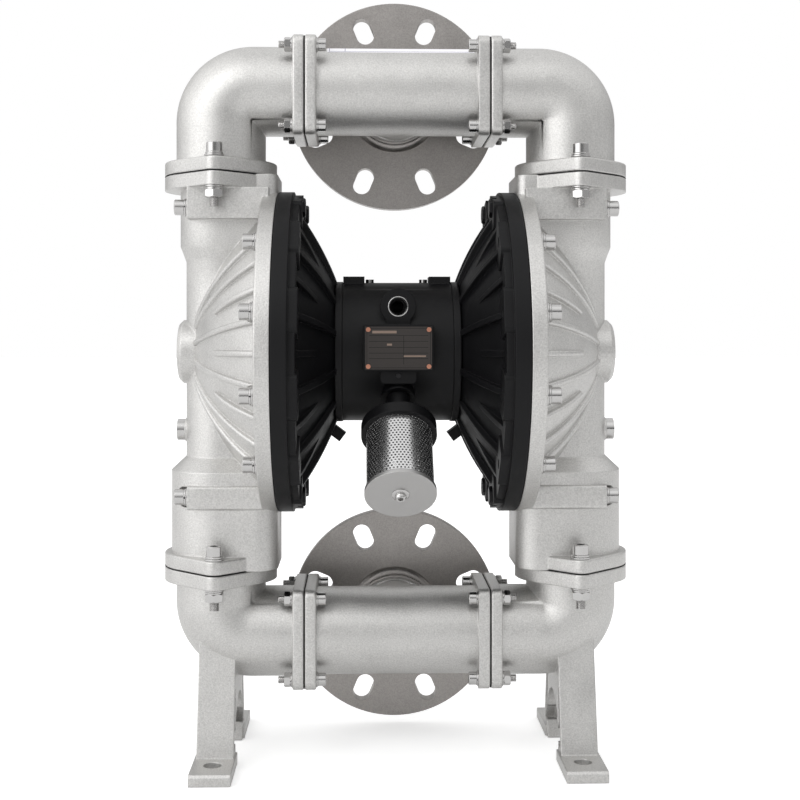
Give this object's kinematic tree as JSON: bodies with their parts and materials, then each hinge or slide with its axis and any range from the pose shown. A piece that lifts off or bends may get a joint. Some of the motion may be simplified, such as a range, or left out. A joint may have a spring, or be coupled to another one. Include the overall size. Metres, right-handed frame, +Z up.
{
  "type": "air operated diaphragm pump",
  "caption": "Air operated double diaphragm pump in cast stainless steel, with ribbed chambers, slotted pipe flanges at the back, splayed feet and an exhaust muffler.",
  "frame": {"origin": "on the floor, in the middle of the four foot holes", "axes": "+X from the left chamber to the right one, +Y to the back where the pipe flanges are, +Z up"},
  "size_m": [0.482, 0.3399, 0.803],
  "materials": {
    "cast_stainless": "bead blasted",
    "flange_steel": "turned, left as machined",
    "bright_steel": "polished",
    "dark_steel": "blackened",
    "polished_steel": "polished, perforated",
    "black_casting": "satin black coating",
    "rubber": "moulded",
    "ball_plastic": "moulded",
    "plate_aluminium": "dark anodised",
    "rivet_copper": "plain",
    "valve_aluminium": "hard anodised",
    "bush_brass": "turned"
  },
  "bodies": {
    "pump_body": {"body_screws": "bright_steel", "centre_body": "black_casting", "chamber_joint_bolts": "bright_steel", "chamber_joint_nuts": "bright_steel", "cover_screws": "bright_steel", "discharge_flange": "flange_steel", "discharge_tee": "cast_stainless", "drain_plugs": "bright_steel", "left_air_chamber": "black_casting", "left_diaphragm": "rubber", "left_discharge_elbow": "cast_stainless", "left_fluid_chamber": "cast_stainless", "left_suction_elbow": "cast_stainless", "long_rim_bolts": "bright_steel", "long_rim_nuts": "dark_steel", "lower_ball_seats": "ball_plastic", "manifold_gaskets": "rubber", "manifold_joint_bolts": "bright_steel", "manifold_joint_nuts": "bright_steel", "muffler_cap": "black_casting", "muffler_end_disc": "bright_steel", "muffler_nipple": "black_casting", "muffler_screen": "polished_steel", "muffler_tie_bolt": "bright_steel", "muffler_washer": "bright_steel", "nameplate": "plate_aluminium", "nameplate_rivets": "rivet_copper", "pad_screw": "bright_steel", "right_air_chamber": "black_casting", "right_diaphragm": "rubber", "right_discharge_elbow": "cast_stainless", "right_fluid_chamber": "cast_stainless", "right_suction_elbow": "cast_stainless", "rim_bolts": "bright_steel", "rod_bushes": "bush_brass", "rod_seals": "rubber", "seat_gaskets": "rubber", "suction_flange": "flange_steel", "suction_tee": "cast_stainless", "upper_ball_seats": "ball_plastic", "valve_end_caps": "valve_aluminium", "valve_sleeve": "valve_aluminium"},
    "rod": {"diaphragm_rod": "bright_steel", "inner_clamp_discs": "bright_steel", "outer_clamp_discs": "bright_steel", "rod_end_nuts": "bright_steel"},
    "pilot": {"pilot_rod": "bright_steel"},
    "spool": {"valve_spool": "bright_steel"},
    "lower_left_valve": {"lower_left_ball": "ball_plastic"},
    "lower_right_valve": {"lower_right_ball": "ball_plastic"},
    "upper_left_valve": {"upper_left_ball": "ball_plastic"},
    "upper_right_valve": {"upper_right_ball": "ball_plastic"}
  },
  "joints": [
    {"name": "rod_slide", "type": "slide", "parent": "pump_body", "child": "rod", "axis": [1, 0, 0], "range_m": [-0.02, 0.02], "deforming": ["left_diaphragm", "right_diaphragm"]},
    {"name": "pilot_slide", "type": "slide", "parent": "pump_body", "child": "pilot", "axis": [1, 0, 0], "range_m": [-0.0041, 0.0041]},
    {"name": "spool_slide", "type": "slide", "parent": "pump_body", "child": "spool", "axis": [1, 0, 0], "range_m": [-0.006, 0.006]},
    {"name": "lower_left_ball_lift", "type": "slide", "parent": "pump_body", "child": "lower_left_valve", "axis": [0, 0, 1], "range_m": [0, 0.014]},
    {"name": "lower_right_ball_lift", "type": "slide", "parent": "pump_body", "child": "lower_right_valve", "axis": [0, 0, 1], "range_m": [0, 0.014]},
    {"name": "upper_left_ball_lift", "type": "slide", "parent": "pump_body", "child": "upper_left_valve", "axis": [0, 0, 1], "range_m": [0, 0.014]},
    {"name": "upper_right_ball_lift", "type": "slide", "parent": "pump_body", "child": "upper_right_valve", "axis": [0, 0, 1], "range_m": [0, 0.014]}
  ],
  "couplings": [
    {"joint": "pilot_slide", "follows": "rod_slide", "ratio": 0.2}
  ]
}
